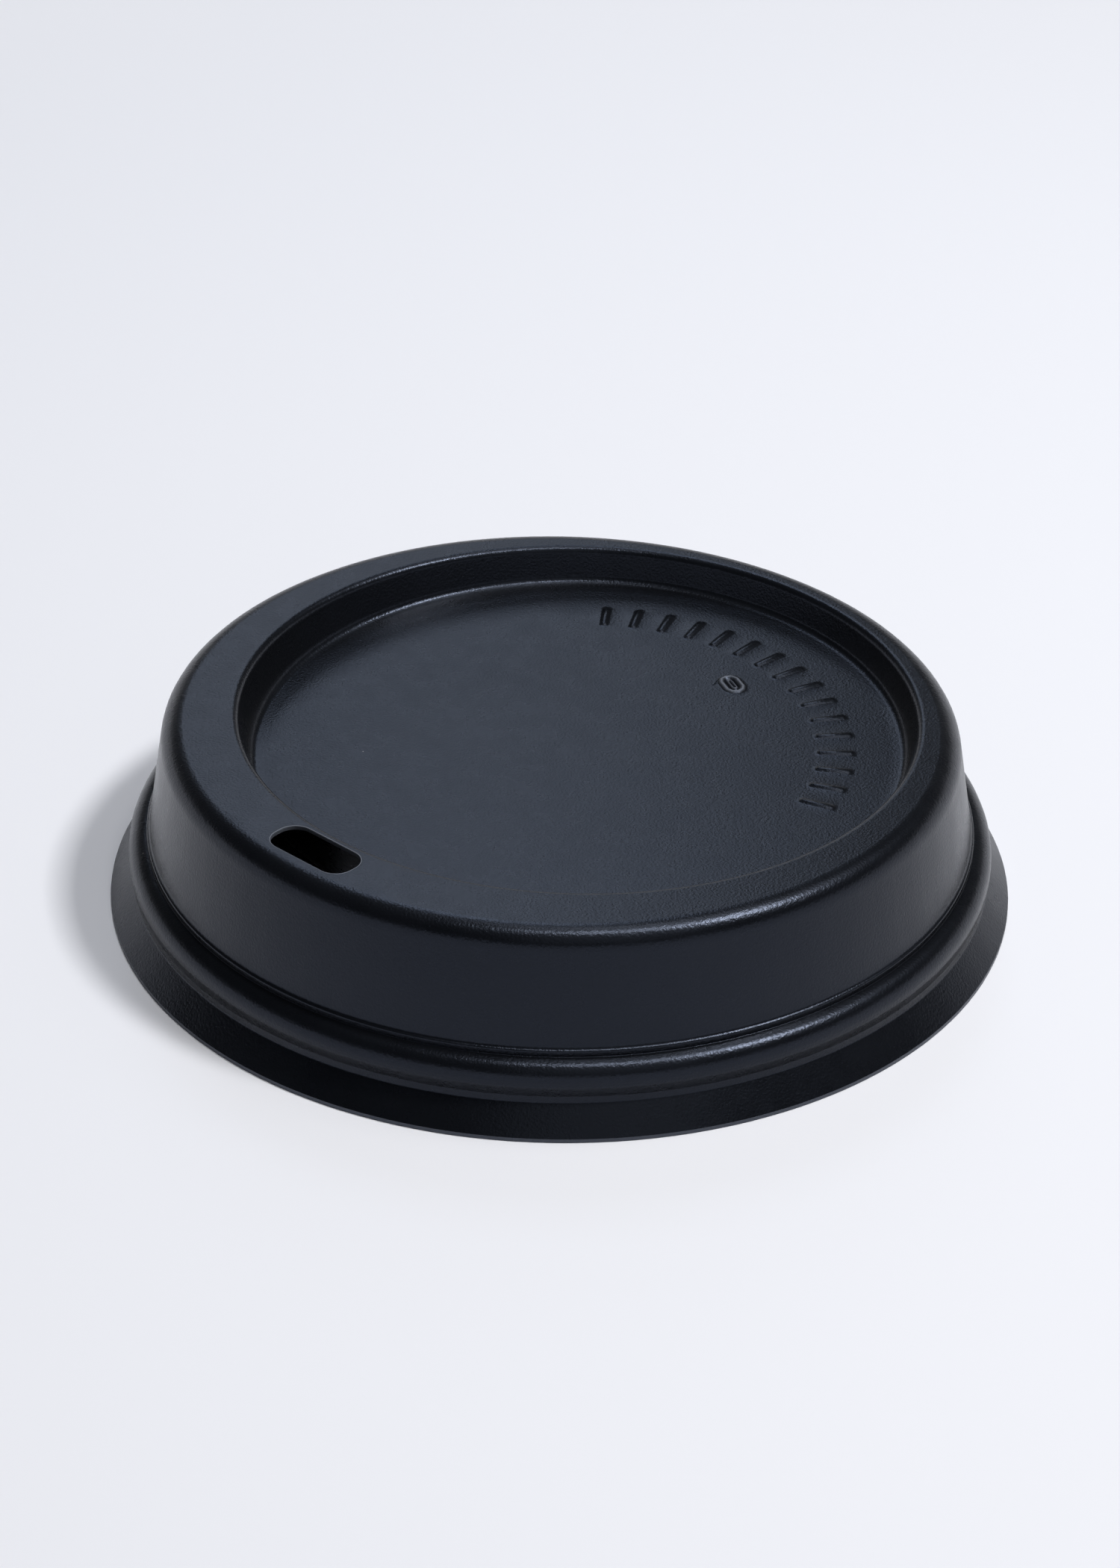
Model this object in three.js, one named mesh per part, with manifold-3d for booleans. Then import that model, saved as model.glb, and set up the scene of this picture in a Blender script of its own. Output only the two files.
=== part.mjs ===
// A sip lid for a paper cup, formed in one piece from thin black polystyrene sheet.
// Millimetres, +Z up. The origin is on the lid's axis, in the plane that its lip rests on,
// and the sip slot is on the -Y side.

import * as THREE from 'three';
import { mergeVertices } from 'three/addons/utils/BufferGeometryUtils.js';
import Module from 'manifold-3d';

const wasm = await Module();
wasm.setup();

// Sheet, and the cup that the lid snaps on
const sheet = 0.45;
const cupRimRadius = 45;

// Skirt: a cone from the lip up to the neck, which grips below the cup's rolled rim
const neckGrip = 0.3;
const neckLow = 3.15;
const neckBand = 0.75;
const lipReach = 2.35;
const lipFlat = 0.3;

// Bead around the cup's rim, and the ledge with its fine step on top of it
const bellyHeight = 5.1;
const beadTop = 6.75;
const beadRound = 1.3;
const ledgeWidth = 1.95;
const ledgeRise = 0.72;
const stepWidth = 0.3;
const stepHeight = 0.65;

// Wall, flat rim and shoulder
const rimHeight = 20.1;
const wallLean = 1.8;
const shoulderRound = 2.3;
const rimSlope = 0.0137;

// Recess: it stands off the axis, away from the slot, so that the rim is wide there
const recessRadius = 35.5;
const recessDepth = 4.7;
const recessDraft = 1;
const recessShift = 2.6;
const rimEdgeRound = 0.8;
const deckRound = 1;
const deckSlope = -0.02;

// Sip slot, through the wide side of the rim
const slotLength = 10.4;
const slotWidth = 4.7;
const slotCorner = 2;
const slotInset = 0.95;

// Vent: a pierced hole with a small raised collar, across the deck from the slot
const ventRadius = 20.7;
const ventAngle = 10.5;
const ventHole = 0.45;
const ventCollar = 1.35;
const ventCrown = 0.85;
const ventHeight = 0.35;

// Fineness of the round stretches
const turnSegments = 64;
const chordError = 0.03;
const fineRound = 0.25;
const shortestArc = 0.001;
const arcShare = 0.48;
const slotCornerSteps = 6;
const collarSides = 20;
const pinSides = 12;

// Sizes that follow from the ones above
const beadRadius = cupRimRadius + sheet;
const neckRadius = beadRadius - neckGrip;
const lipRadius = neckRadius + lipReach;
const stepFoot = beadRadius - ledgeWidth;
const wallFoot = stepFoot - stepWidth;
const ledgeTop = beadTop + ledgeRise;
const wallFootHeight = ledgeTop + stepHeight;
const shoulderRadius = wallFoot - wallLean;
const deckHeight = rimHeight - recessDepth;
const deckRadius = recessRadius - recessDraft;
const flatOuter = shoulderRadius - shoulderRound;
const flatInner = recessRadius + rimEdgeRound;

const blackPlastic = new THREE.MeshStandardMaterial({
  color: 0x16181c,
  roughness: 0.42,
  metalness: 0,
});

/** A corner of the section: its radius and height, and the rounding there. */
function corner(radius, height, round = 0) {
  return { point: new THREE.Vector2(radius, height), round };
}

/** The foot of the wall on the outer skin: the ledge's inner edge and the fine step up to the wall. */
function steppedFoot() {
  return [
    corner(stepFoot, ledgeTop, fineRound),
    corner(stepFoot, wallFootHeight, fineRound),
    corner(wallFoot, wallFootHeight),
  ];
}

/** The foot of the wall as the sheet's inside follows it, without the fine step. */
function plainFoot() {
  return [corner(wallFoot, ledgeTop, fineRound)];
}

/** The outer skin from the lip up and over to the middle of the deck, with this foot of the wall. */
function skinCorners(foot) {
  return [
    corner(lipRadius, sheet),
    corner(neckRadius, neckLow, fineRound),
    corner(neckRadius, neckLow + neckBand, fineRound),
    corner(beadRadius, bellyHeight, beadRound),
    corner(beadRadius, beadTop, beadRound),
    ...foot,
    corner(shoulderRadius, rimHeight, shoulderRound),
    corner(recessRadius, rimHeight, rimEdgeRound),
    corner(deckRadius, deckHeight, deckRound),
    corner(0, deckHeight),
  ];
}

/** Where two lines meet, each given by a point and a direction. */
function crossing(pointA, directionA, pointB, directionB) {
  const gap = pointB.clone().sub(pointA);
  const along = gap.cross(directionB) / directionA.cross(directionB);
  return pointA.clone().addScaledVector(directionA, along);
}

/** The sheet's inner skin: each line of the outer one moved in by the thickness. */
function innerCorners() {
  const outer = skinCorners(plainFoot());
  const lines = outer.slice(1).map(({ point }, index) => {
    const start = outer[index].point;
    const direction = point.clone().sub(start).normalize();
    const inward = new THREE.Vector2(-direction.y, direction.x).multiplyScalar(sheet);
    return { start: start.clone().add(inward), direction };
  });
  const level = new THREE.Vector2(1, 0);
  const upright = new THREE.Vector2(0, 1);
  const last = lines[lines.length - 1];
  const skirt = lines[0];
  const foot = new THREE.Vector2(lipRadius - lipFlat, 0);
  const bend = crossing(foot, upright, skirt.start, skirt.direction);
  const inner = [{ point: foot, round: 0 }];
  if (bend.y > 0) inner.push({ point: bend, round: 0 });
  else inner[0].point = crossing(foot, level, skirt.start, skirt.direction);
  for (let index = 1; index < lines.length; index += 1) {
    const before = lines[index - 1];
    const after = lines[index];
    const turn = before.direction.cross(after.direction);
    const round = Math.max(outer[index].round - Math.sign(turn) * sheet, fineRound);
    inner.push({ point: crossing(before.start, before.direction, after.start, after.direction), round });
  }
  inner.push({ point: crossing(new THREE.Vector2(), upright, last.start, last.direction), round: 0 });
  return inner;
}

/** Chords for an arc of this turn, so that none stands further off it than the chord error. */
function arcSteps(turn, radius) {
  const widest = 2 * Math.acos(1 - Math.min(chordError / radius, 1));
  return Math.max(1, Math.ceil(turn / widest));
}

/** A line through corners, with an arc at each rounded one, limited by its neighbours' lengths. */
function roundedLine(corners) {
  const points = [corners[0].point];
  for (let index = 1; index < corners.length - 1; index += 1) {
    const { point, round } = corners[index];
    const back = corners[index - 1].point.clone().sub(point);
    const ahead = corners[index + 1].point.clone().sub(point);
    const room = arcShare * Math.min(back.length(), ahead.length());
    back.normalize();
    ahead.normalize();
    const turn = Math.PI - Math.acos(THREE.MathUtils.clamp(back.dot(ahead), -1, 1));
    const tangent = Math.min(round * Math.tan(turn / 2), room);
    if (tangent < shortestArc) {
      points.push(point);
      continue;
    }
    const radius = tangent / Math.tan(turn / 2);
    const middle = back.clone().add(ahead).normalize();
    const centre = point.clone().addScaledVector(middle, radius / Math.cos(turn / 2));
    const first = point.clone().addScaledVector(back, tangent).sub(centre);
    const spin = -Math.sign(back.cross(ahead)) * turn;
    const steps = arcSteps(turn, radius);
    for (let step = 0; step <= steps; step += 1) {
      const spoke = first.clone().rotateAround(new THREE.Vector2(), (spin * step) / steps);
      points.push(centre.clone().add(spoke));
    }
  }
  points.push(corners[corners.length - 1].point);
  return points;
}

/** How far a point at this radius of the section moves with the recess, from 0 to 1. */
function recessShare(radius) {
  return THREE.MathUtils.clamp((flatOuter - radius) / (flatOuter - flatInner), 0, 1);
}

/** The slope at a point of the section: none at the bead, the rim's at the top, the deck's below it. */
function slopeAt(radius, height) {
  if (radius < flatInner) {
    const up = (height - deckHeight) / (recessDepth - sheet);
    return THREE.MathUtils.lerp(deckSlope, rimSlope, THREE.MathUtils.clamp(up, 0, 1));
  }
  const up = (height - wallFootHeight) / (rimHeight - shoulderRound - wallFootHeight);
  return rimSlope * THREE.MathUtils.clamp(up, 0, 1);
}

/** Moves the recess off the axis and slopes the rim up, and the deck down, towards the slot. */
function settle(geometry) {
  const places = geometry.attributes.position;
  for (let index = 0; index < places.count; index += 1) {
    const x = places.getX(index);
    const z = places.getZ(index);
    const radius = Math.hypot(x, places.getY(index));
    const y = places.getY(index) + recessShift * recessShare(radius);
    places.setY(index, y);
    places.setZ(index, z - slopeAt(radius, z) * y);
  }
  return geometry;
}

/** A closed solid from a geometry whose shared vertices are merged. */
function toSolid(geometry) {
  geometry.deleteAttribute('normal');
  geometry.deleteAttribute('uv');
  const merged = mergeVertices(geometry);
  const { array } = merged.index;
  const faces = [];
  for (let index = 0; index < array.length; index += 3) {
    const [a, b, c] = array.subarray(index, index + 3);
    if (a !== b && b !== c && c !== a) faces.push(a, b, c);
  }
  const vertProperties = new Float32Array(merged.attributes.position.array);
  return new wasm.Manifold(new wasm.Mesh({ numProp: 3, vertProperties, triVerts: new Uint32Array(faces) }));
}

/** A geometry from a solid. */
function toGeometry(solid) {
  const { vertProperties, triVerts } = solid.getMesh();
  const geometry = new THREE.BufferGeometry();
  geometry.setAttribute('position', new THREE.BufferAttribute(vertProperties, 3));
  geometry.setIndex(new THREE.BufferAttribute(triVerts, 1));
  geometry.computeVertexNormals();
  return geometry;
}

/** The formed sheet: the section turned about the axis, then settled. */
function formedSheet() {
  const inside = roundedLine(innerCorners()).reverse();
  const cutEdge = new THREE.Vector2(lipRadius, 0);
  const section = [...inside, cutEdge, ...roundedLine(skinCorners(steppedFoot()))];
  return settle(new THREE.LatheGeometry(section, turnSegments).rotateX(Math.PI / 2));
}

/** The punch for the slot: a rounded rectangle, its long side across the radius. */
function slotPunch() {
  const round = Math.min(slotCorner, slotWidth / 2, slotLength / 2);
  const halfLength = slotLength / 2;
  const halfWidth = slotWidth / 2;
  const shape = new THREE.Shape();
  shape.absarc(halfLength - round, halfWidth - round, round, 0, Math.PI / 2);
  shape.absarc(round - halfLength, halfWidth - round, round, Math.PI / 2, Math.PI);
  shape.absarc(round - halfLength, round - halfWidth, round, Math.PI, 1.5 * Math.PI);
  shape.absarc(halfLength - round, round - halfWidth, round, 1.5 * Math.PI, 2 * Math.PI);
  const centre = recessShift - recessRadius - slotInset - halfWidth;
  const depth = recessDepth;
  const bottom = rimHeight - depth / 2 - rimSlope * centre;
  return new THREE.ExtrudeGeometry(shape, { depth, curveSegments: slotCornerSteps, bevelEnabled: false })
    .translate(0, centre, bottom);
}

/** Puts a vent piece that stands on Z at the vent's place on the deck. */
function atVent(geometry) {
  const angle = THREE.MathUtils.degToRad(90 - ventAngle);
  const x = ventRadius * Math.cos(angle);
  const y = ventRadius * Math.sin(angle) + recessShift;
  return geometry.rotateX(Math.PI / 2).translate(x, y, deckHeight - deckSlope * y);
}

/** The raised collar around the vent hole, its base sunk halfway into the sheet. */
function ventRing() {
  const base = sheet / 2;
  const cone = new THREE.CylinderGeometry(ventCrown, ventCollar, ventHeight + base, collarSides);
  return atVent(cone.translate(0, (ventHeight - base) / 2, 0));
}

/** The pin that pierces the vent. */
function ventPin() {
  return atVent(new THREE.CylinderGeometry(ventHole, ventHole, 4 * (sheet + ventHeight), pinSides));
}

/** The whole lid. */
function makeLid() {
  const solid = toSolid(formedSheet())
    .add(toSolid(ventRing()))
    .subtract(toSolid(ventPin()))
    .subtract(toSolid(slotPunch()));
  const lid = new THREE.Mesh(toGeometry(solid), blackPlastic);
  lid.name = 'lid';
  return lid;
}

const cupLid = new THREE.Group();
cupLid.add(makeLid());

export default cupLid;
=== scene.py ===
"""A sip lid for a paper cup, formed in one piece from thin black polystyrene sheet.

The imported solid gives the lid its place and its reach. This script carries the same section
finely around the axis, punches the slot and the vent through both skins, and gives the plastic
its satin grain. The lid's sizes are in millimetres until its mesh is written. The studio's and
the camera's are in metres.
"""

import logging
import math
from dataclasses import dataclass
from enum import Enum
from typing import Any, Union

import bpy
import numpy as np
from mathutils import Matrix, Quaternion, Vector


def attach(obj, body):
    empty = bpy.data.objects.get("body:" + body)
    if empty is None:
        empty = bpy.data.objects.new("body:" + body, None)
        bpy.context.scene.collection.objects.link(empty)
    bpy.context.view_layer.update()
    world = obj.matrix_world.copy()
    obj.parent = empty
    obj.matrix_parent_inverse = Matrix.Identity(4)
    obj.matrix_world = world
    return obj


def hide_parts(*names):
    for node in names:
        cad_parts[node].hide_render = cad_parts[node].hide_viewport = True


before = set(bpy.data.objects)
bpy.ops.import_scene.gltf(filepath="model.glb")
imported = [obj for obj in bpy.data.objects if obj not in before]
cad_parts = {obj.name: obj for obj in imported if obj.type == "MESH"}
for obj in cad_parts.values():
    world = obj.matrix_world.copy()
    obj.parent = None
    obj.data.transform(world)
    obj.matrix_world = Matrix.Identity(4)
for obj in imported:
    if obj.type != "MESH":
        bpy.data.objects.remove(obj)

LOG = logging.getLogger("sip_lid")
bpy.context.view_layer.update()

MM = 0.001
PHOTO_WIDTH = 1500
PHOTO_HEIGHT = 2100
PHOTO_AZIMUTH = 42.2
SENSOR = 36.0
MERGE_DIGITS = 6
SHARP_ANGLE = 40.0
# Mesh attribute of each point's share of pale colour: sheared edges, and a painted highlight on the vent's
# crest
CUT_AND_PAINTED_HIGHLIGHT_ATTRIBUTE = "cut_edge_and_painted_highlight"


class SeeingRay(Enum):
    """The kinds of ray that see the pale studio as a flat field."""

    CAMERA = "Is Camera Ray"
    GLOSSY = "Is Glossy Ray"
    TRANSMISSION = "Is Transmission Ray"


# Lines and outlines

@dataclass(frozen=True)
class Corner:
    """A corner of the section: its radius and height in millimetres, and the rounding there.

    The share is how much of the shorter line beside it the rounding may take.
    """

    radius: float
    height: float
    round: float = 0.0
    share: float = 0.48


def unit(vectors: np.ndarray) -> np.ndarray:
    """Scales each vector to a length of one.

    Args:
        vectors: Vectors along the last axis.

    Returns:
        The unit vectors.
    """
    return vectors / np.linalg.norm(vectors, axis=-1, keepdims=True)


def cross(a: np.ndarray, b: np.ndarray) -> np.ndarray:
    """Works out the turn from a to b, as the first times the other's second less the reverse.

    Args:
        a: Plane vectors along the last axis.
        b: Plane vectors of the same shape.

    Returns:
        One number for each pair.
    """
    return a[..., 0] * b[..., 1] - a[..., 1] * b[..., 0]


def crossing(start_a: np.ndarray, along_a: np.ndarray,
             start_b: np.ndarray, along_b: np.ndarray) -> np.ndarray:
    """Finds where lines meet in pairs.

    The first line's start goes along its direction by the gap's turn to the second direction,
    over the turn from the first direction to the second.

    Args:
        start_a: Points on the first lines.
        along_a: Directions of the first lines.
        start_b: Points on the second lines.
        along_b: Directions of the second lines.

    Returns:
        The points where they meet.
    """
    share = cross(start_b - start_a, along_b) / cross(along_a, along_b)
    return start_a + along_a * share[..., None]


def rounded_line(corners: list[Corner], arc_steps: int, places: np.ndarray) -> np.ndarray:
    """Rounds a line of corners.

    Each inner corner gives way to an arc that touches both of its lines: a centre on the line
    that halves the corner, and a first spoke that is turned by equal angles. The straight
    stretches between the arcs get points of their own, so that the shading stays true.

    Args:
        corners: The corners from one end to the other.
        arc_steps: Chords in each arc.
        places: Where each straight stretch but the last has its points, as shares of its length.

    Returns:
        The points as rows of radius and height.
    """
    points = np.array([(corner.radius, corner.height) for corner in corners])
    rounds = np.array([corner.round for corner in corners[1:-1]])
    back = points[:-2] - points[1:-1]
    ahead = points[2:] - points[1:-1]
    shares = np.array([corner.share for corner in corners[1:-1]])
    room = shares * np.minimum(np.linalg.norm(back, axis=1), np.linalg.norm(ahead, axis=1))
    back = unit(back)
    ahead = unit(ahead)
    turn = math.pi - np.arccos(np.clip((back * ahead).sum(axis=1), -1, 1))
    tangent = np.minimum(rounds * np.tan(turn / 2), room)
    radius = tangent / np.tan(turn / 2)
    centre = points[1:-1] + unit(back + ahead) * (radius / np.cos(turn / 2))[:, None]
    spoke = points[1:-1] + back * tangent[:, None] - centre
    angle = -np.sign(cross(back, ahead))[:, None] * turn[:, None] * np.linspace(0, 1, arc_steps + 1)
    turned_x = np.cos(angle) * spoke[:, :1] - np.sin(angle) * spoke[:, 1:]
    turned_y = np.sin(angle) * spoke[:, :1] + np.cos(angle) * spoke[:, 1:]
    arcs = centre[:, None] + np.stack([turned_x, turned_y], axis=-1)
    starts = np.concatenate([points[:1], arcs[:-1, -1]])
    straights = starts[:, None] + (arcs[:, 0] - starts)[:, None] * places[None, :, None]
    body = np.concatenate([straights, arcs], axis=1).reshape(-1, 2)
    return np.concatenate([points[:1], body, points[-1:]])


def rounded_rectangle(length: float, width: float, corner: float,
                      shares: np.ndarray) -> tuple[np.ndarray, np.ndarray]:
    """Works out an outline with round corners, anticlockwise from the middle of its lower side.

    The normal's direction stays along the straight stretches and turns evenly along the arcs,
    while the arc's centre does the reverse: each point is that centre plus the corner's radius
    along the normal. Equal length and width give a circle.

    Args:
        length: The size along x.
        width: The size along y.
        corner: The radius of the corners.
        shares: Places along the outline, as shares of its whole length.

    Returns:
        The points and their outward normals.
    """
    side = length - 2 * corner
    rise = width - 2 * corner
    arc = math.pi * corner / 2
    steps = [side / 2, arc, rise, arc, side, arc, rise, arc, side / 2]
    marks = np.concatenate([[0.0], np.cumsum(steps)])
    along = np.mod(shares, 1.0) * marks[-1]
    turn = np.radians(np.interp(along, marks, [-90, -90, 0, 0, 90, 90, 180, 180, 270, 270]))
    centre_x = np.interp(along, marks, np.array([0, 1, 1, 1, 1, -1, -1, -1, -1, 0]) * side / 2)
    centre_y = np.interp(along, marks, np.array([-1, -1, -1, 1, 1, 1, 1, -1, -1, -1]) * rise / 2)
    normals = np.stack([np.cos(turn), np.sin(turn)], axis=-1)
    return np.stack([centre_x, centre_y], axis=-1) + corner * normals, normals


def smooth_step(values: np.ndarray, low: float, high: float) -> np.ndarray:
    """Rises from 0 at low to 1 at high with level ends.

    Args:
        values: The numbers to judge.
        low: Where the rise starts.
        high: Where it ends.

    Returns:
        Three times the square of the share, less twice its cube.
    """
    share = np.clip((values - low) / (high - low), 0, 1)
    return share * share * (3 - 2 * share)


# Meshes

class SheetMesh:
    """Gathers grids of points, in millimetres, and makes one closed mesh of them."""

    def __init__(self) -> None:
        """Starts with no grids."""
        self.points: list[np.ndarray] = []
        self.cut_and_painted_highlight_rows: list[np.ndarray] = []
        self.quads: list[np.ndarray] = []
        self.count = 0

    def add_grid(self, points: np.ndarray, cut: np.ndarray,
                 keep: Union[np.ndarray, None] = None) -> None:
        """Adds a grid whose columns close on themselves.

        A face joins two neighbours of a row to the same two of the next row, turning from the
        column's direction to the row's, so that it looks along columns cross rows.

        Args:
            points: Rows by columns by three.
            cut: For each row, its share of pale colour from 0 to 1: sheared
                edges, and a painted highlight on the vent's crest.
            keep: Which faces stay, as rows less one by columns, or all of them.
        """
        rows, columns = points.shape[:2]
        index = self.count + np.arange(rows * columns).reshape(rows, columns)
        after = np.roll(index, -1, axis=1)
        quads = np.stack([index[:-1], after[:-1], after[1:], index[1:]], axis=-1)
        self.quads.append(quads[keep] if keep is not None else quads.reshape(-1, 4))
        self.points.append(points.reshape(-1, 3))
        self.cut_and_painted_highlight_rows.append(np.repeat(cut, columns))
        self.count += rows * columns

    def build(self, name: str) -> bpy.types.Object:
        """Merges equal points, turns the faces at the poles into triangles and makes the object.

        Args:
            name: The object's name.

        Returns:
            A smooth mesh object at the origin, in metres.
        """
        points = np.round(np.concatenate(self.points), MERGE_DIGITS)
        _, first, merged = np.unique(points, axis=0, return_index=True, return_inverse=True)
        quads = merged.reshape(-1)[np.concatenate(self.quads)]
        same = quads == np.roll(quads, -1, axis=1)
        whole = quads[~same.any(axis=1)]
        poles = same.sum(axis=1) == 1
        order = np.argsort(same[poles], axis=1, kind="stable")
        triangles = np.take_along_axis(quads[poles], order, axis=1)[:, :3]
        mesh = bpy.data.meshes.new(name)
        mesh.from_pydata((points[first] * MM).tolist(), [], whole.tolist() + triangles.tolist())
        # Each point's share of pale colour: sheared edges, and a painted highlight on the vent's crest
        cut = mesh.attributes.new(CUT_AND_PAINTED_HIGHLIGHT_ATTRIBUTE, "FLOAT", "POINT")
        cut.data.foreach_set("value", np.concatenate(self.cut_and_painted_highlight_rows)[first].astype(np.float32))
        mesh.shade_smooth()
        mesh.set_sharp_from_angle(angle=math.radians(SHARP_ANGLE))
        mesh.update()
        piece = bpy.data.objects.new(name, mesh)
        bpy.context.scene.collection.objects.link(piece)
        LOG.info("%s: %d faces", name, len(mesh.polygons))
        return piece


# The lid

@dataclass(frozen=True)
class Window:
    """A stretch of rows and columns that a patch takes the place of.

    The rows run towards the middle on the outer skin, and away from it on the inner one.
    """

    outer: tuple[int, int]
    inner: tuple[int, int]
    columns: tuple[int, int]

    def loop(self) -> tuple[np.ndarray, np.ndarray]:
        """Walks the window's edge, anticlockwise from its first corner.

        Returns:
            The steps along the rows and the columns, from the first row and column.
        """
        rows = self.outer[1] - self.outer[0]
        columns = self.columns[1] - self.columns[0]
        up = np.arange(rows)
        right = np.arange(columns)
        row = np.concatenate([right * 0, up, right * 0 + rows, rows - up])
        column = np.concatenate([right, up * 0 + columns, columns - right, up * 0])
        return row, column


@dataclass(frozen=True)
class Ring:
    """One step of a patch: how far it stands out from the outline, and its height on the skin."""

    out: float
    height: float
    # Share of pale colour: sheared edges, and on the vent's raised crest a painted highlight
    cut: float = 0.0


@dataclass(frozen=True)
class Hole:
    """A rounded oblong punched through both skins.

    Its middle is at a radius and an angle from the recess's middle. Its length lies across that
    radius, less a turn in degrees. The rings lead over the outer skin, down through the sheet
    and out on the inner skin. The window is the stretch of the skins that they take the place of.
    """

    length: float
    width: float
    corner: float
    radius: float
    angle: float
    turn: float
    window_radii: tuple[float, float]
    window_pitches: tuple[float, float]
    height: float
    slope: float
    rings: tuple[Ring, ...]

    def outline(self, shares: np.ndarray, shift: float) -> tuple[np.ndarray, np.ndarray]:
        """Works out the outline in plan: the oblong turned about its middle, then moved there.

        Args:
            shares: Places along the outline, as shares of its whole length.
            shift: The place of the recess's middle along y.

        Returns:
            The points and their outward normals.
        """
        points, normals = rounded_rectangle(self.length, self.width, self.corner, shares)
        place = math.radians(self.angle)
        across = place - math.radians(self.turn)
        basis = np.array([[-math.sin(across), math.cos(across)], [-math.cos(across), -math.sin(across)]])
        centre = np.array([self.radius * math.cos(place), self.radius * math.sin(place) + shift])
        return points @ basis + centre, normals @ basis


# Rows, columns and rings of the sheet

# Chords in each rounding, and the points on a straight stretch as shares of its length
OUTER_ARC = 6
INNER_ARC = 3
STRAIGHT_PLACES = np.array([0.03, 0.5, 0.97])

# Rows of the deck in millimetres: in from its round edge, near the middle, and beside a rib's end
DECK_FIRST_STEP = 1.0
DECK_ROWS = np.array([14.0, 8.0, 3.0, 0.8])
FLANK_ROWS = np.array([2.0, 1.0, 0.5, 0.0])

# Columns of one pitch in degrees from a rib's middle, and how much of the rib's height each takes
RIB_COLUMNS = np.array([-3.6, -1.35, -0.92, -0.5, 0.0, 0.5, 0.92, 1.35])
RIB_SHARES = np.array([0.0, 0.0, 0.15, 0.76, 1.0, 0.76, 0.15, 0.0])

# How near a point counts as being on a flat, the rows between a window and its hole, and the
# share of pale sheared edge on the lip's face
FLAT_TOLERANCE = 0.02
BLEND_PLACES = (0.45, 0.85)
LIP_CUT = 0.42

# Windows in radii and in pitches from the slot's, and rings from the outer to the inner skin
SLOT_ANGLE = -90.0
SLOT_WINDOW_RADII = (39.42, 36.15)
SLOT_PITCHES = (-2, 3)
SLOT_RINGS = (
    Ring(0.18, 0.0), Ring(0.12, 0.0), Ring(0.09, 0.025, 0.7), Ring(0.03, 0.03, 1.0), Ring(0.0, 0.0, 1.0),
    Ring(0.0, -0.2, 0.6), Ring(0.0, -0.42, 0.6), Ring(0.03, -0.45), Ring(0.13, -0.45),
)
VENT_REACH = 2.4
VENT_ROWS = 4
VENT_PITCHES = (22.5, 24.5)
# On the vent the third numbers paint a highlight on the raised ring's crest, and make the slit's rim and
# flap pale as sheared plastic
VENT_RINGS = (
    Ring(1.25, 0.0), Ring(1.12, 0.03), Ring(0.98, 0.12, 0.2), Ring(0.84, 0.2, 0.75), Ring(0.7, 0.22, 0.75),
    Ring(0.58, 0.14, 0.2), Ring(0.45, -0.02), Ring(0.3, -0.08), Ring(0.2, -0.02), Ring(0.12, 0.12, 0.5),
    Ring(0.05, 0.16, 0.9), Ring(0.0, 0.1, 0.9), Ring(0.0, -0.35, 0.5), Ring(0.04, -0.45), Ring(1.2, -0.45),
)


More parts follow.
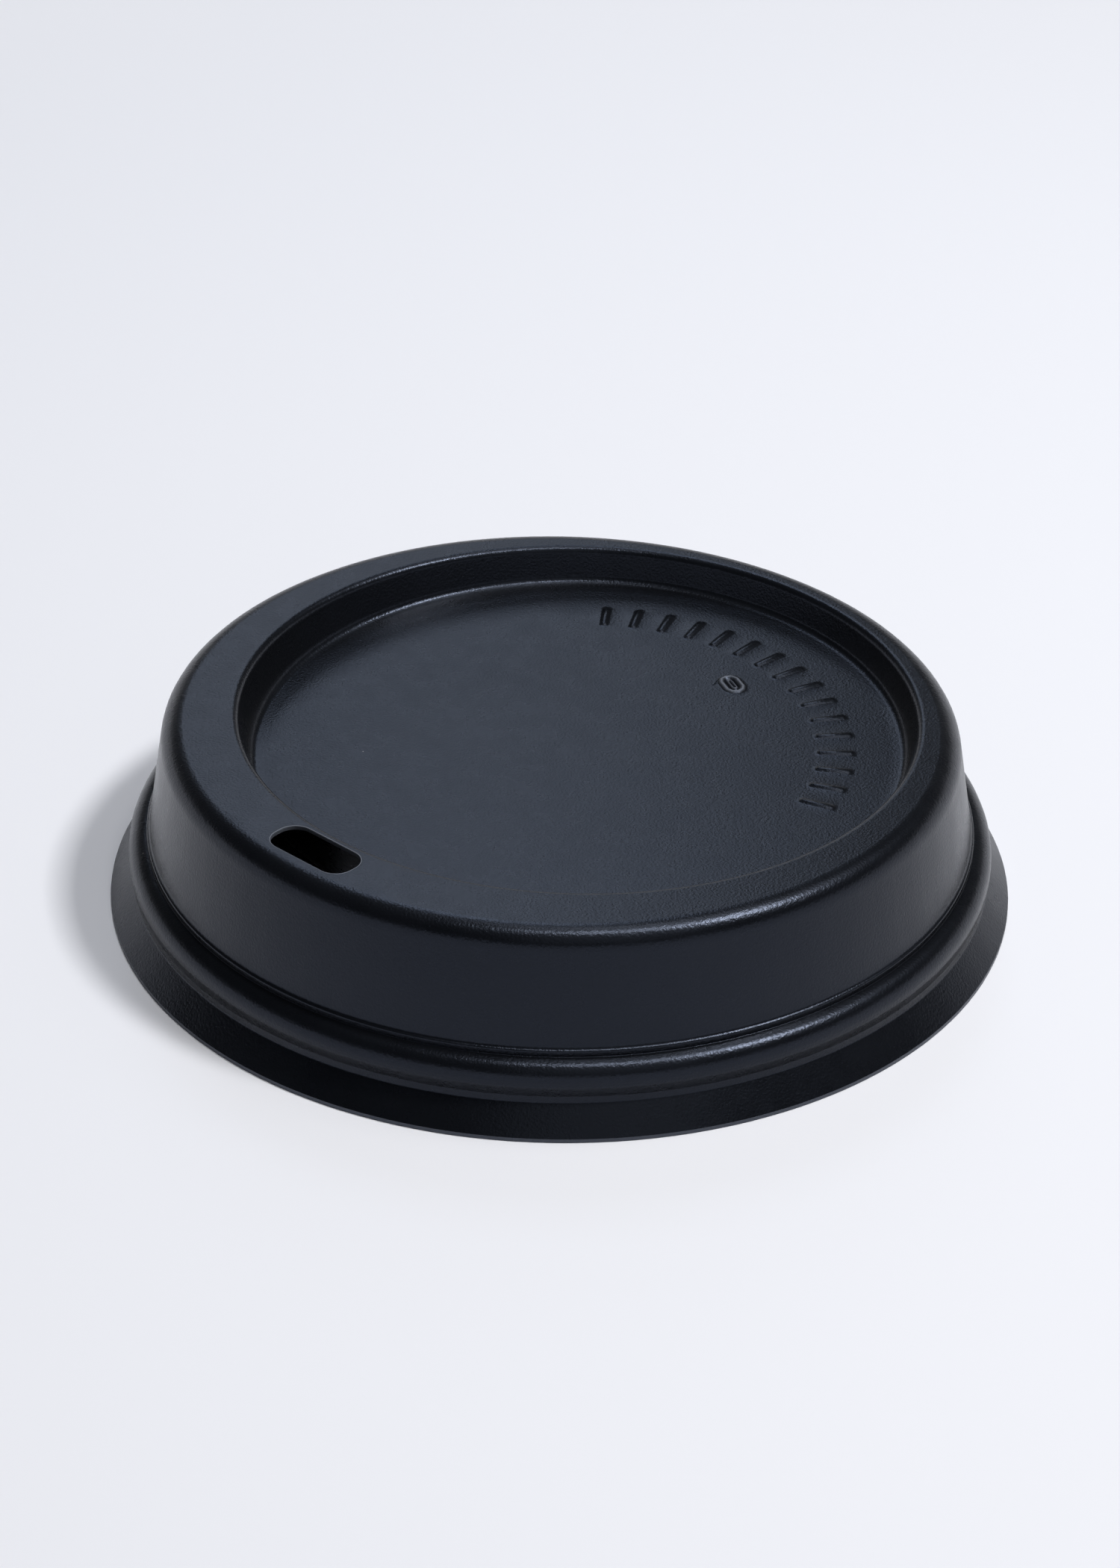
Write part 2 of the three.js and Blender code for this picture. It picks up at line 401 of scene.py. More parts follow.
@dataclass(frozen=True)
class CupLid:
    """The formed lid: its driving sizes, and the methods that make its one sheet."""

    sheet: float = 0.45
    cup_rim_radius: float = 45.0
    neck_grip: float = 0.3
    neck_low: float = 3.15
    neck_band: float = 0.75
    lip_reach: float = 2.35
    lip_flat: float = 0.3
    lip_edge_round: float = 0.05
    belly_height: float = 5.1
    bead_top: float = 6.75
    bead_round: float = 1.3
    crest_round: float = 1.9
    crest_share: float = 0.97
    ledge_width: float = 1.95
    ledge_rise: float = 0.72
    step_width: float = 0.3
    step_height: float = 0.65
    step_foot_round: float = 0.05
    step_top_round: float = 0.19
    step_tilt: float = 0.14
    step_shares: tuple[float, float, float] = (0.08, 0.38, 0.6)
    wall_foot_round: float = 0.4
    rim_height: float = 20.1
    wall_lean: float = 1.8
    shoulder_round: float = 2.3
    rim_slope: float = 0.0137
    recess_radius: float = 35.5
    recess_depth: float = 4.7
    recess_draft: float = 1.0
    recess_shift: float = 2.6
    rim_edge_round: float = 0.8
    deck_round: float = 1.0
    deck_slope: float = -0.02
    slot_length: float = 10.4
    slot_width: float = 4.7
    slot_corner: float = 2.0
    slot_inset: float = 0.95
    vent_radius: float = 20.7
    vent_angle: float = 79.5
    vent_length: float = 1.7
    vent_width: float = 0.26
    vent_turn: float = 14.5
    fine_round: float = 0.25
    rib_pitches: int = 50
    rib_first: int = -20
    rib_last: int = 15
    rib_height: float = 0.22
    rib_inner: float = 25.4
    rib_outer: float = 28.6
    rib_flank: float = 0.35

    @property
    def bead_radius(self) -> float:
        """The bead's outer radius, around the cup's rim."""
        return self.cup_rim_radius + self.sheet

    @property
    def neck_radius(self) -> float:
        """The neck's outer radius, below the cup's rim."""
        return self.bead_radius - self.neck_grip

    @property
    def lip_radius(self) -> float:
        """The lip's outer radius."""
        return self.neck_radius + self.lip_reach

    @property
    def step_foot(self) -> float:
        """The radius of the fine step on the ledge."""
        return self.bead_radius - self.ledge_width

    @property
    def wall_foot(self) -> float:
        """The wall's radius at its foot."""
        return self.step_foot - self.step_width

    @property
    def ledge_top(self) -> float:
        """The height of the ledge where it meets the step."""
        return self.bead_top + self.ledge_rise

    @property
    def wall_foot_height(self) -> float:
        """The height of the wall's foot."""
        return self.ledge_top + self.step_height

    @property
    def shoulder_radius(self) -> float:
        """The wall's radius at the rim's height, before the shoulder is rounded."""
        return self.wall_foot - self.wall_lean

    @property
    def deck_height(self) -> float:
        """The height of the deck on the axis."""
        return self.rim_height - self.recess_depth

    @property
    def flat_outer(self) -> float:
        """The radius where the rim's flat starts to follow the recess."""
        return self.shoulder_radius - self.shoulder_round

    @property
    def flat_inner(self) -> float:
        """The radius inside which all of the sheet follows the recess."""
        return self.recess_radius + self.rim_edge_round

    def skin_corners(self, foot: list[Corner]) -> list[Corner]:
        """Lists the outer skin's corners, from the lip up and over to the middle of the deck.

        Args:
            foot: The corners at the wall's foot.

        Returns:
            All of the corners.
        """
        return [
            Corner(self.lip_radius, self.sheet, self.lip_edge_round),
            Corner(self.neck_radius, self.neck_low, self.fine_round),
            Corner(self.neck_radius, self.neck_low + self.neck_band, self.fine_round),
            Corner(self.bead_radius, self.belly_height, self.bead_round),
            Corner(self.bead_radius, self.ledge_top, self.crest_round, self.crest_share),
            *foot,
            Corner(self.shoulder_radius, self.rim_height, self.shoulder_round),
            Corner(self.recess_radius, self.rim_height, self.rim_edge_round),
            Corner(self.recess_radius - self.recess_draft, self.deck_height, self.deck_round),
            Corner(0.0, self.deck_height),
        ]

    def outer_corners(self) -> list[Corner]:
        """Lists the outer side: the lip's flat and its sheared face, then the skin with its step."""
        lip = [
            Corner(self.lip_radius - self.lip_flat, 0.0),
            Corner(self.lip_radius, 0.0, self.lip_edge_round),
        ]
        low, top, wall = self.step_shares
        foot = [
            Corner(self.step_foot, self.ledge_top, self.step_foot_round, low),
            Corner(self.step_foot, self.wall_foot_height, self.step_top_round, top),
            Corner(self.wall_foot, self.wall_foot_height + self.step_tilt, self.wall_foot_round, wall),
        ]
        return lip + self.skin_corners(foot)

    def inner_corners(self) -> list[Corner]:
        """Lists the inner side: each line of the outer skin moved in by the sheet's thickness.

        The fine step is left out, because the sheet's inside doesn't follow it. An outward bend
        loses the thickness from its rounding and an inward one gains it.
        """
        outer = self.skin_corners([Corner(self.wall_foot, self.ledge_top, self.fine_round)])
        points = np.array([(corner.radius, corner.height) for corner in outer])
        along = unit(np.diff(points, axis=0))
        starts = points[:-1] + np.stack([-along[:, 1], along[:, 0]], axis=1) * self.sheet
        bends = crossing(starts[:-1], along[:-1], starts[1:], along[1:])
        turns = np.sign(cross(along[:-1], along[1:]))
        rounds = np.array([corner.round for corner in outer[1:-1]]) - turns * self.sheet
        rounds = np.maximum(rounds, self.fine_round)
        upright = np.array([0.0, 1.0])
        foot = np.array([self.lip_radius - self.lip_flat, 0.0])
        skirt = crossing(foot, upright, starts[0], along[0])
        middle = crossing(np.zeros(2), upright, starts[-1], along[-1])
        shares = [corner.share for corner in outer[1:-1]]
        bent = [Corner(*point, size, share) for point, size, share in zip(bends, rounds, shares)]
        return [Corner(*foot), Corner(*skirt, self.lip_edge_round), *bent, Corner(*middle)]

    def deck_radii(self, start: float) -> np.ndarray:
        """Chooses the deck's rows, close together where the ribs have their flanks.

        Args:
            start: The radius where the deck's flat starts.

        Returns:
            The radii of the rows, from the outermost inwards.
        """
        steps = self.rib_flank * FLANK_ROWS
        vent = self.vent_radius + VENT_REACH * np.linspace(1, -1, VENT_ROWS + 1)
        ends = [self.rib_outer + steps, self.rib_inner - steps[::-1]]
        return np.concatenate([[start - DECK_FIRST_STEP], *ends, vent, DECK_ROWS])

    def lines(self) -> tuple[np.ndarray, np.ndarray]:
        """Rounds both sides of the section.

        Returns:
            The outer and the inner line, each from the lip's flat to the middle of the deck.
        """
        sides = []
        for corners, steps in ((self.outer_corners(), OUTER_ARC), (self.inner_corners(), INNER_ARC)):
            line = rounded_line(corners, steps, STRAIGHT_PLACES)
            radii = self.deck_radii(line[-2, 0])
            deck = np.stack([radii, np.full_like(radii, line[-1, 1])], axis=1)
            sides.append(np.concatenate([line[:-1], deck, line[-1:]]))
        return sides[0], sides[1]

    def columns(self) -> np.ndarray:
        """Spreads the columns round the axis, in each pitch at the middle and flanks of a rib."""
        pitch = 2 * math.pi / self.rib_pitches
        middles = -math.pi / 2 + pitch * np.arange(self.rib_pitches)
        return (middles[:, None] + np.radians(RIB_COLUMNS)).reshape(-1)

    def slope(self, radius: np.ndarray, height: np.ndarray) -> np.ndarray:
        """Works out how the sheet slopes along y.

        The slope grows from nothing at the wall's foot to the rim's at its top, and in the recess
        it goes over from the rim's to the deck's, each by the share of the height.

        Args:
            radius: Radii in the section.
            height: Heights in the section.

        Returns:
            The fall for each millimetre of y.
        """
        depth = np.clip((height - self.deck_height) / (self.recess_depth - self.sheet), 0, 1)
        inside = self.deck_slope + (self.rim_slope - self.deck_slope) * depth
        wall = self.rim_height - self.shoulder_round - self.wall_foot_height
        outside = self.rim_slope * np.clip((height - self.wall_foot_height) / wall, 0, 1)
        return np.where(radius < self.flat_inner, inside, outside)

    def relief(self, radius: np.ndarray, column: np.ndarray) -> np.ndarray:
        """Raises the plain ribs on the deck.

        The height is the ribs' own, times the flank's rise along the radius, times the column's
        share of a rib, in the pitches that have one.

        Args:
            radius: Radii from the recess's middle.
            column: Column numbers, of the same shape.

        Returns:
            Heights above the deck.
        """
        share = np.minimum(radius - self.rib_inner, self.rib_outer - radius) / self.rib_flank + 1
        pitch, place = np.divmod(column, len(RIB_COLUMNS))
        pitch = (pitch + self.rib_pitches // 2) % self.rib_pitches - self.rib_pitches // 2
        ribbed = (pitch <= self.rib_first) | (pitch >= self.rib_last)
        return self.rib_height * smooth_step(share, 0, 1) * RIB_SHARES[place] * ribbed

    def settle(self, radius: np.ndarray, height: np.ndarray, angle: np.ndarray) -> np.ndarray:
        """Puts points of the turned section in place.

        Each point goes round the axis by its angle. The recess's share of it moves along y by the
        shift, and then it falls by the slope times y.

        Args:
            radius: Radii in the section.
            height: Heights in the section.
            angle: Angles round the axis.

        Returns:
            The places, with x, y and z along the last axis.
        """
        share = np.clip((self.flat_outer - radius) / (self.flat_outer - self.flat_inner), 0, 1)
        x = radius * np.cos(angle)
        y = radius * np.sin(angle) + self.recess_shift * share
        return np.stack([x, y, height - self.slope(radius, height) * y], axis=-1)

    def patch(self, grid: np.ndarray, window: Window, hole: Hole) -> tuple[np.ndarray, np.ndarray]:
        """Makes the tube that leads from a window in the outer skin through the sheet to the inner one.

        Each ring stands off the hole's outline along its normal. Between the window's edge and
        the first and last ring, each row is a mix of the two.

        Args:
            grid: All points of the sheet.
            window: The stretch that the patch takes the place of.
            hole: The hole to punch.

        Returns:
            The patch's grid and each row's share of pale colour: sheared edges, and a painted
            highlight on the vent's crest.
        """
        row, column = window.loop()
        columns = (window.columns[0] + column) % grid.shape[1]
        outer = grid[window.outer[0] + row, columns]
        inner = grid[window.inner[1] - row, columns]
        half = (window.columns[1] - window.columns[0]) / 2
        points, normals = hole.outline((np.arange(len(row)) - half) / len(row), self.recess_shift)
        steps = []
        for ring in hole.rings:
            plan = points + normals * ring.out
            steps.append(np.column_stack([plan, hole.height + ring.height - hole.slope * plan[:, 1]]))
        opening = self.blends(outer, steps[0])
        closing = self.blends(inner, steps[-1])[::-1]
        rows = np.stack([outer, *opening, *steps, *closing, inner])
        plain = [0.0] * (1 + len(BLEND_PLACES))
        return rows, np.array(plain + [ring.cut for ring in hole.rings] + plain)

    @staticmethod
    def blends(edge: np.ndarray, goal: np.ndarray) -> list[np.ndarray]:
        """Mixes a window's edge with the ring that is nearest to it.

        Args:
            edge: Points at the window's edge.
            goal: Points of the ring.

        Returns:
            The rows between them.
        """
        return [edge + (goal - edge) * share for share in BLEND_PLACES]

    def holes(self) -> tuple[Hole, Hole]:
        """Places the slot in the wide side of the rim and the vent's slit on the deck.

        Returns:
            The slot and the vent.
        """
        slot_radius = self.recess_radius + self.slot_inset + self.slot_width / 2
        slot = Hole(
            self.slot_length, self.slot_width, self.slot_corner, slot_radius, SLOT_ANGLE, 0.0,
            SLOT_WINDOW_RADII, SLOT_PITCHES, self.rim_height, self.rim_slope, SLOT_RINGS)
        vent_radii = (self.vent_radius + VENT_REACH, self.vent_radius - VENT_REACH)
        vent = Hole(
            self.vent_length, self.vent_width, self.vent_width / 2, self.vent_radius, self.vent_angle,
            self.vent_turn, vent_radii, VENT_PITCHES, self.deck_height, self.deck_slope, VENT_RINGS)
        return slot, vent

    def window(self, outer: np.ndarray, inner: np.ndarray, hole: Hole) -> Window:
        """Finds the rows and columns of a hole's window.

        Args:
            outer: The outer line of the section.
            inner: The inner line.
            hole: The hole.

        Returns:
            The window, whose rows count from the middle of the inner skin.
        """
        found = []
        for line, level in ((outer, hole.height), (inner, hole.height - self.sheet)):
            gaps = [np.hypot(line[:, 0] - radius, line[:, 1] - level) for radius in hole.window_radii]
            found.append([int(np.argmin(gap)) for gap in gaps])
        last = len(inner) - 1
        columns = tuple(int(round(pitch * len(RIB_COLUMNS))) for pitch in hole.window_pitches)
        return Window(
            (found[0][0] + last, found[0][1] + last), (last - found[1][1], last - found[1][0]), columns)

    def build(self) -> bpy.types.Object:
        """Makes the whole sheet as one closed mesh.

        The rows run from the middle of the inner skin out and down to the lip, round its sheared
        face, and up over the outer skin to the middle of the deck.

        Returns:
            The lid's object.
        """
        outer, inner = self.lines()
        section = np.concatenate([inner[::-1], outer[1:]])
        angle = self.columns()
        radius, angles = np.broadcast_arrays(section[:, :1], angle)
        height = np.broadcast_to(section[:, 1:], radius.shape)
        column = np.broadcast_to(np.arange(len(angle)), radius.shape)
        low = np.abs(height - self.deck_height) <= self.sheet + FLAT_TOLERANCE
        relief = np.where(low, self.relief(radius, column), 0)
        grid = self.settle(radius, height, angles)
        grid[..., 2] += relief
        face = (section[:, 0] > self.lip_radius - FLAT_TOLERANCE) & (section[:, 1] < self.sheet)
        mesh = SheetMesh()
        keep = np.ones((len(section) - 1, len(angle)), bool)
        patches = []
        for hole in self.holes():
            window = self.window(outer, inner, hole)
            columns = np.arange(*window.columns) % len(angle)
            keep[window.outer[0]:window.outer[1], columns] = False
            keep[window.inner[0]:window.inner[1], columns] = False
            patches.append(self.patch(grid, window, hole))
        mesh.add_grid(grid, face * LIP_CUT, keep)
        for points, cut in patches:
            mesh.add_grid(points, cut)
        return mesh.build("lid_sheet")


# Shader maths, with the sockets of a Mix node that mixes colours

MIX_SHARE = 0
MIX_LOWER = 6
MIX_UPPER = 7
MIX_RESULT = 2


class Signal:
    """A socket of a node tree, on which Python's operators add Math nodes."""

    def __init__(self, graph: "Graph", socket: bpy.types.NodeSocket) -> None:
        """Keeps the graph and the socket."""
        self.graph = graph
        self.socket = socket

    def __add__(self, other: Any) -> "Signal":
        """Adds."""
        return self.graph.math("ADD", self, other)

    def __radd__(self, other: Any) -> "Signal":
        """Adds, with the number first."""
        return self.graph.math("ADD", other, self)

    def __sub__(self, other: Any) -> "Signal":
        """Subtracts."""
        return self.graph.math("SUBTRACT", self, other)

    def __rsub__(self, other: Any) -> "Signal":
        """Subtracts from a number."""
        return self.graph.math("SUBTRACT", other, self)

    def __mul__(self, other: Any) -> "Signal":
        """Multiplies."""
        return self.graph.math("MULTIPLY", self, other)

    def __rmul__(self, other: Any) -> "Signal":
        """Multiplies, with the number first."""
        return self.graph.math("MULTIPLY", other, self)


class Graph:
    """Adds nodes to one tree."""

    def __init__(self, tree: bpy.types.NodeTree) -> None:
        """Empties the tree.

        Args:
            tree: The node tree of a material or the world.
        """
        self.tree = tree
        tree.nodes.clear()

    def node(self, kind: str, settings: dict[str, Any], inputs: dict[Any, Any]) -> bpy.types.Node:
        """Adds a node.

        Args:
            kind: The node's type.
            settings: Its own settings, such as its operation.
            inputs: Values or signals for its sockets, by name or number.

        Returns:
            The node.
        """
        node = self.tree.nodes.new(kind)
        for name, value in settings.items():
            setattr(node, name, value)
        for name, value in inputs.items():
            if isinstance(value, Signal):
                self.tree.links.new(value.socket, node.inputs[name])
            else:
                node.inputs[name].default_value = value
        return node

    def signal(self, kind: str, settings: dict[str, Any], inputs: dict[Any, Any],
               output: Union[int, str] = 0) -> Signal:
        """Adds a node and hands on one of its outputs.

        Args:
            kind: The node's type.
            settings: Its own settings.
            inputs: Values or signals for its sockets.
            output: The output's name or number.

        Returns:
            The output as a signal.
        """
        return Signal(self, self.node(kind, settings, inputs).outputs[output])

    def math(self, operation: str, first: Any, second: Any) -> Signal:
        """Adds a Math node on two numbers or signals."""
        return self.signal("ShaderNodeMath", {"operation": operation}, {0: first, 1: second})

    def place(self) -> Signal:
        """Reads Object coordinates, in metres."""
        return self.signal("ShaderNodeTexCoord", {}, {}, "Object")

    def noise(self, place: Signal, feature: float, detail: float) -> Signal:
        """Adds noise whose features are this long.

        Args:
            place: The coordinates.
            feature: The length of a feature in millimetres.
            detail: How many finer layers it has.

        Returns:
            Values around one half.
        """
        inputs = {"Vector": place, "Scale": 1 / (feature * MM), "Detail": detail, "Roughness": 0.5}
        return self.signal("ShaderNodeTexNoise", {"noise_dimensions": "3D"}, inputs)

    def ramp(self, value: Signal, span: tuple[float, float]) -> Signal:
        """Rises from 0 at the span's start to 1 at its end, level outside them."""
        settings = {"interpolation_type": "SMOOTHSTEP", "clamp": True}
        inputs = {"Value": value, "From Min": span[0], "From Max": span[1]}
        return self.signal("ShaderNodeMapRange", settings, inputs)

    def blend(self, share: Signal, below: Union[Signal, tuple[float, ...]],
              above: tuple[float, ...]) -> Signal:
        """Lays a colour over another by a share.

        Args:
            share: How much of the upper colour shows.
            below: The lower colour, a signal or three numbers.
            above: The upper colour.

        Returns:
            The mixed colour.
        """
        lower = below if isinstance(below, Signal) else (*below, 1.0)
        inputs = {MIX_SHARE: share, MIX_LOWER: lower, MIX_UPPER: (*above, 1.0)}
        return self.signal("ShaderNodeMix", {"data_type": "RGBA"}, inputs, MIX_RESULT)


# Finishes

@dataclass(frozen=True)
class SatinBlackPlastic:
    """Thin black polystyrene: satin, with a fine grain from the mould and some specks of dust.

    Lengths are in millimetres. A span is where a noise or a distance goes over from none to all.
    """

    deep: tuple[float, float, float] = (0.0024, 0.0027, 0.0035)
    pale: tuple[float, float, float] = (0.0032, 0.0036, 0.0046)
    sheen: tuple[float, float, float] = (0.65, 0.75, 1.0)
    # Pale colour of the sheared edges, which also paints a highlight on the vent's raised crest
    cut: tuple[float, float, float] = (0.14, 0.152, 0.18)
    cloud: float = 14.0
    cloud_span: tuple[float, float] = (0.35, 0.65)
    dust: tuple[float, float, float] = (0.22, 0.21, 0.2)
    dust_spacing: float = 5.5
    dust_span: tuple[float, float] = (0.012, 0.022)
    dust_patch: float = 9.0
    dust_patch_span: tuple[float, float] = (0.56, 0.62)
    roughness: float = 0.28
    roughness_spread: float = 0.05
    roughness_patch: float = 3.0
    # Roughness on the same pale sheared edges and painted crest highlight
    cut_and_painted_highlight_roughness: float = 0.55
    index: float = 1.45
    specular: float = 0.4
    grain: float = 0.26
    grain_height: float = 0.026
    fine_grain: float = 0.1
    fine_grain_height: float = 0.006

    def build(self, name: str) -> bpy.types.Material:
        """Makes the material.

        Args:
            name: Its name.

        Returns:
            The material.
        """
        material = bpy.data.materials.new(name)
        material.use_nodes = True
        graph = Graph(material.node_tree)
        place = graph.place()
        # Each point's share of pale colour: sheared edges, and a painted highlight on the vent's crest
        cut = graph.signal("ShaderNodeAttribute", {"attribute_name": CUT_AND_PAINTED_HIGHLIGHT_ATTRIBUTE}, {}, "Fac")
        clouds = graph.ramp(graph.noise(place, self.cloud, 2.0), self.cloud_span)
        base = graph.blend(clouds, self.deep, self.pale)
        cells = {"Vector": place, "Scale": 1 / (self.dust_spacing * MM)}
        specks = graph.signal("ShaderNodeTexVoronoi", {}, cells, "Distance")
        chosen = graph.ramp(graph.noise(place, self.dust_patch, 0.0), self.dust_patch_span)
        dusted = graph.blend((1 - graph.ramp(specks, self.dust_span)) * chosen, base, self.dust)
        # Sheared edges, and the vent's crest as a painted highlight, take the pale colour
        colour = graph.blend(cut, dusted, self.cut)
        uneven = graph.noise(place, self.roughness_patch, 3.0) - 0.5
        rough = uneven * (2 * self.roughness_spread) + self.roughness
        rough = rough + cut * (self.cut_and_painted_highlight_roughness - self.roughness)
        grain = graph.noise(place, self.grain, 1.0) * (self.grain_height * MM)
        fine = graph.noise(place, self.fine_grain, 1.0) * (self.fine_grain_height * MM)
        relief = {"Strength": 1.0, "Distance": 1.0, "Height": grain + fine}
        bump = graph.signal("ShaderNodeBump", {}, relief)
        inputs = {"Base Color": colour, "Roughness": rough, "Normal": bump, "IOR": self.index}
        inputs |= {"Specular IOR Level": self.specular, "Specular Tint": (*self.sheen, 1.0)}
        shader = graph.signal("ShaderNodeBsdfPrincipled", {}, inputs)
        graph.node("ShaderNodeOutputMaterial", {}, {"Surface": shader})
        return material


@dataclass(frozen=True)
class StudioPaper:
    """Pale paper: it takes the lid's shadow near by, and far off it is a flat pale field."""

    colour: tuple[float, float, float] = (0.83, 0.835, 0.875)
    field_span: tuple[float, float] = (0.16, 0.45)

    def build(self, name: str) -> bpy.types.Material:
        """Makes the material.

        Args:
            name: Its name.

        Returns:
            The material.
        """
        material = bpy.data.materials.new(name)
        material.use_nodes = True
        graph = Graph(material.node_tree)
        place = graph.place()
        away = graph.signal("ShaderNodeVectorMath", {"operation": "LENGTH"}, {0: place}, "Value")
        far = graph.ramp(away, self.field_span)
        path = graph.node("ShaderNodeLightPath", {}, {})
        seen = sum((Signal(graph, path.outputs[ray.value]) for ray in SeeingRay), 0.0)
        paper = graph.signal("ShaderNodeBsdfDiffuse", {}, {"Color": (*self.colour, 1.0)})
        field = graph.signal("ShaderNodeEmission", {}, {"Color": (*self.colour, 1.0), "Strength": 1.0})
        mixed = graph.signal("ShaderNodeMixShader", {}, {0: far * seen, 1: paper, 2: field})
        graph.node("ShaderNodeOutputMaterial", {}, {"Surface": mixed})
        return material


# Studio

@dataclass(frozen=True)
class Softbox:
    """A lamp aimed at the lid.

    Its place is to the camera's right, beyond the lid and up. Its size is its width to the
    camera's right and its length across that. Its power is in watts.
    """

    name: str
    place: tuple[float, float, float]
    size: tuple[float, float]
    power: float
    colour: tuple[float, float, float] = (1.0, 1.0, 1.0)

    def build(self, turn: Matrix) -> None:
        """Makes the lamp and aims it at the lid.

        Args:
            turn: The turn from the camera's right and forward directions to the lid's axes.
        """
        lamp = bpy.data.lights.new(self.name, "AREA")
        lamp.shape = "RECTANGLE"
        lamp.size, lamp.size_y = self.size
        lamp.energy = self.power
        lamp.color = self.colour
        holder = bpy.data.objects.new(self.name, lamp)
        place = turn @ Vector(self.place)
        out = place.normalized()
        up = out.cross(turn.col[0]).normalized()
        aim = Matrix((up.cross(out), up, out)).transposed()
        holder.matrix_world = Matrix.Translation(place) @ aim.to_4x4()
        bpy.context.scene.collection.objects.link(holder)


BLUISH = (0.74, 0.84, 1.0)
SWEEP_COLUMNS = 96
SWEEP_RING = 0.05
SWEEP_FLOOR_ROWS = 12
SWEEP_BEND_ROWS = 8
SWEEP_WALL_ROWS = 3


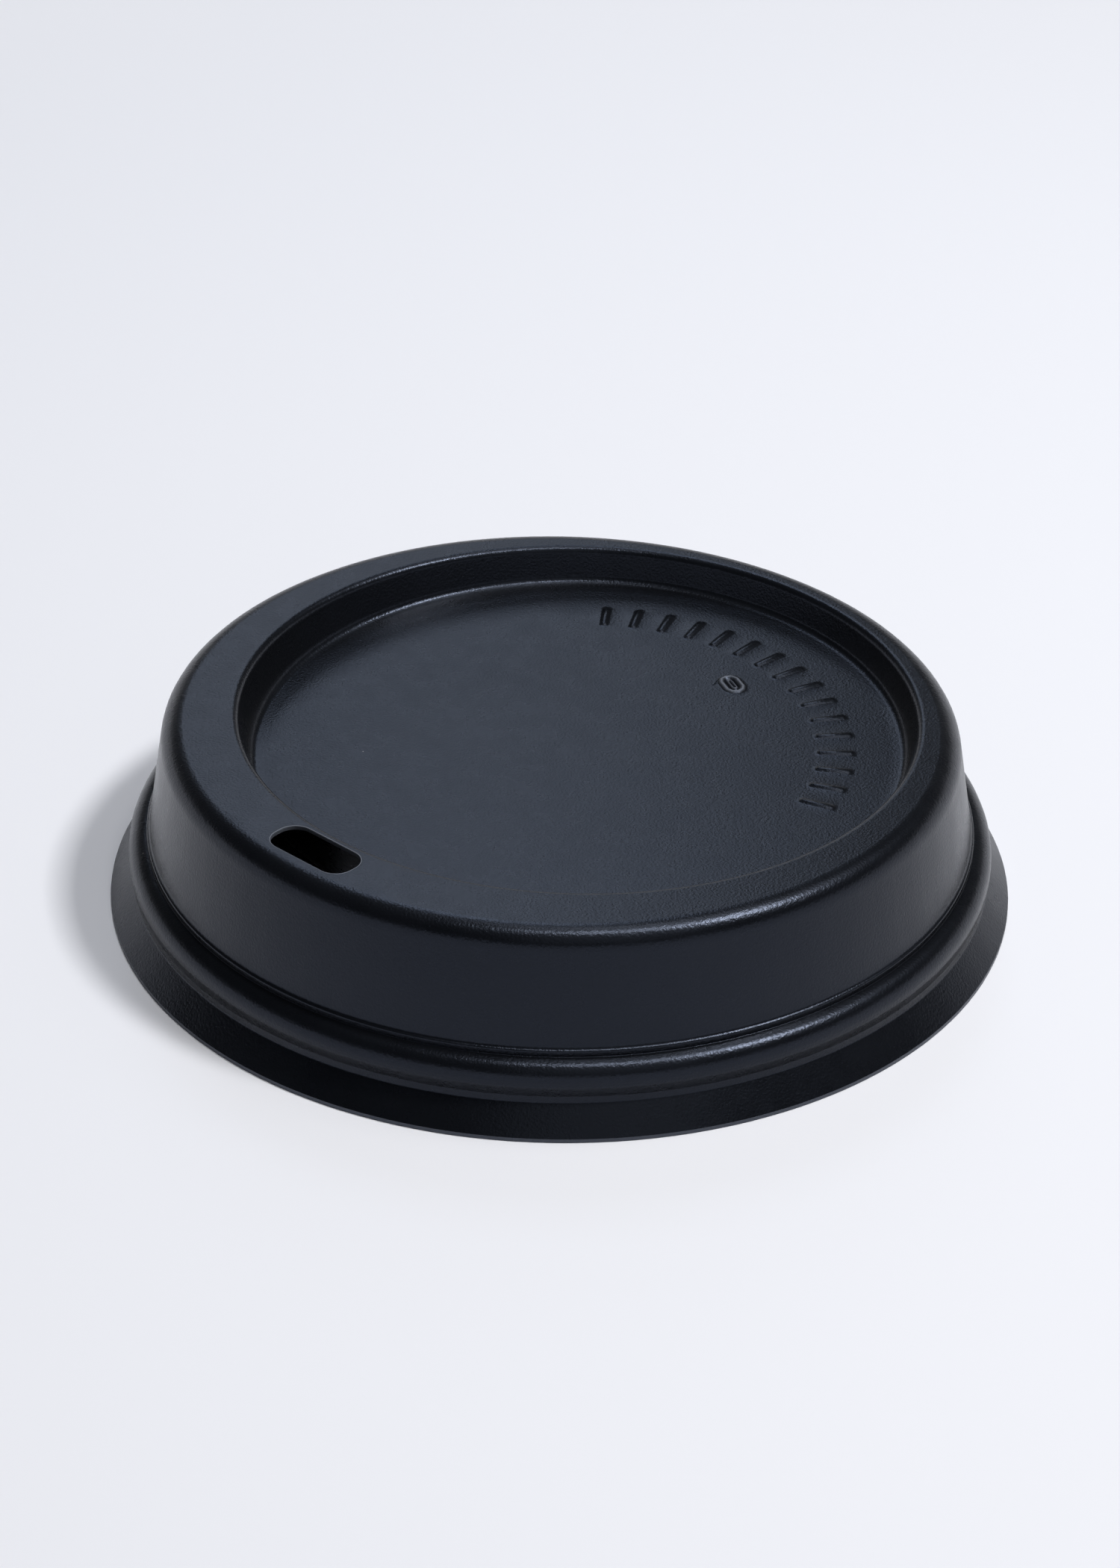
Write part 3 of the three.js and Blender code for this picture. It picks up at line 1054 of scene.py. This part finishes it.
@dataclass(frozen=True)
class Studio:
    """The pale paper sweep, the lamps and the dim room around them."""

    floor_radius: float = 1.6
    wall_height: float = 0.4
    bend: float = 0.25
    azimuth: float = PHOTO_AZIMUTH
    room: tuple[float, float, float] = (0.06, 0.062, 0.066)

    def lamps(self) -> list[Softbox]:
        """Lists the lamps."""
        return [
            Softbox("key_softbox", (0.478, -0.06, 0.876), (0.14, 0.14), 6.1),
            Softbox("top_strip", (0.13, -0.13, 0.983), (0.36, 0.1), 2.7),
            Softbox("right_softbox", (0.5, 0.3, 0.81), (0.3, 0.3), 0.2),
            Softbox("high_back_softbox", (0.1, 0.28, 0.95), (0.4, 0.1), 0.75),
            Softbox("near_back_softbox", (-0.03, 0.36, 0.44), (0.14, 0.14), 0.25, BLUISH),
            Softbox("low_back_softbox", (-0.06, 0.86, 0.5), (0.25, 0.25), 0.33, BLUISH),
            Softbox("front_fill", (0.2, -0.7, 0.75), (0.7, 0.7), 0.5),
        ]

    def sweep(self) -> bpy.types.Object:
        """Makes the paper: a level disc that bends up into a low wall.

        The profile goes out along the floor from a small ring, round a quarter circle and up.
        One flat face closes the ring's middle.

        Returns:
            The sweep's object.
        """
        angle = np.linspace(0, 2 * math.pi, SWEEP_COLUMNS, endpoint=False)
        floor = np.geomspace(SWEEP_RING, self.floor_radius - self.bend, SWEEP_FLOOR_ROWS)
        turn = np.linspace(0, math.pi / 2, SWEEP_BEND_ROWS + 1)[1:]
        wall = np.linspace(self.bend, self.wall_height, SWEEP_WALL_ROWS + 1)[1:]
        bend_out = self.floor_radius - self.bend + self.bend * np.sin(turn)
        bend_up = self.bend * (1 - np.cos(turn))
        out = np.concatenate([floor, bend_out, np.full_like(wall, self.floor_radius)])
        up = np.concatenate([np.zeros_like(floor), bend_up, wall])
        z = np.broadcast_to(up[:, None], (len(up), len(angle)))
        points = np.stack([out[:, None] * np.cos(angle), out[:, None] * np.sin(angle), z], axis=-1)
        rows, columns = points.shape[:2]
        index = np.arange(rows * columns).reshape(rows, columns)
        after = np.roll(index, -1, axis=1)
        quads = np.stack([index[:-1], index[1:], after[1:], after[:-1]], axis=-1).reshape(-1, 4)
        mesh = bpy.data.meshes.new("paper_sweep")
        faces = [index[0].tolist(), *quads.tolist()]
        mesh.from_pydata(points.reshape(-1, 3).tolist(), [], faces)
        mesh.shade_smooth()
        mesh.update()
        sweep = bpy.data.objects.new("paper_sweep", mesh)
        bpy.context.scene.collection.objects.link(sweep)
        mesh.materials.append(StudioPaper().build("studio_paper"))
        return sweep

    def build(self) -> None:
        """Makes the sweep, the lamps and the room's dim light."""
        self.sweep()
        turn = Matrix.Rotation(math.radians(self.azimuth), 3, "Z")
        for lamp in self.lamps():
            lamp.build(turn)
        world = bpy.data.worlds.new("dim_room")
        world.use_nodes = True
        graph = Graph(world.node_tree)
        light = graph.signal("ShaderNodeBackground", {}, {"Color": (*self.room, 1.0), "Strength": 1.0})
        graph.node("ShaderNodeOutputWorld", {}, {"Surface": light})
        bpy.context.scene.world = world
        bpy.context.scene.view_settings.view_transform = "Standard"


@dataclass(frozen=True)
class PhotoCamera:
    """The photograph's camera: its lens in pixels, where it stands and how it is turned off the lid."""

    focal_pixels: float = 6500.0
    distance: float = 0.515918
    azimuth: float = PHOTO_AZIMUTH
    elevation: float = 32.8258
    roll: float = 0.6713
    yaw: float = 0.00018168
    pitch: float = 0.01985714
    clip_start: float = 0.01

    def build(self) -> None:
        """Makes the camera and makes it the scene's.

        It stands straight back from the origin, looks at it, and is then turned about its own up
        axis by the yaw, about its right axis by the pitch and about its line of sight by the roll.
        """
        azimuth = math.radians(self.azimuth)
        elevation = math.radians(self.elevation)
        level = math.cos(elevation)
        back = Vector((math.sin(azimuth) * level, -math.cos(azimuth) * level, math.sin(elevation)))
        right = Vector((math.cos(azimuth), math.sin(azimuth), 0.0))
        ahead = -back
        up = right.cross(ahead)
        yaw = Quaternion(up, self.yaw)
        ahead = yaw @ ahead
        right = yaw @ right
        pitch = Quaternion(right, self.pitch)
        ahead = pitch @ ahead
        up = pitch @ up
        roll = math.radians(self.roll)
        rolled_right = right * math.cos(roll) + up * math.sin(roll)
        rolled_up = up * math.cos(roll) - right * math.sin(roll)
        camera = bpy.data.cameras.new("photo_camera")
        camera.sensor_width = SENSOR
        camera.lens = self.focal_pixels * SENSOR / max(PHOTO_WIDTH, PHOTO_HEIGHT)
        camera.clip_start = self.clip_start
        holder = bpy.data.objects.new("photo_camera", camera)
        turn = Matrix((rolled_right, rolled_up, -ahead)).transposed()
        holder.matrix_world = Matrix.Translation(back * self.distance) @ turn.to_4x4()
        bpy.context.scene.collection.objects.link(holder)
        bpy.context.scene.camera = holder


def main() -> None:
    """Builds the camera, the studio and the lid, in that order."""
    logging.basicConfig(level=logging.INFO, format="%(name)s: %(message)s")
    PhotoCamera().build()
    Studio().build()
    lid = CupLid().build()
    lid.data.materials.append(SatinBlackPlastic().build("satin_black_plastic"))
    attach(lid, "root")
    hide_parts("lid")
    LOG.info("%s made", lid.name)


if __name__ == "__main__":
    main()
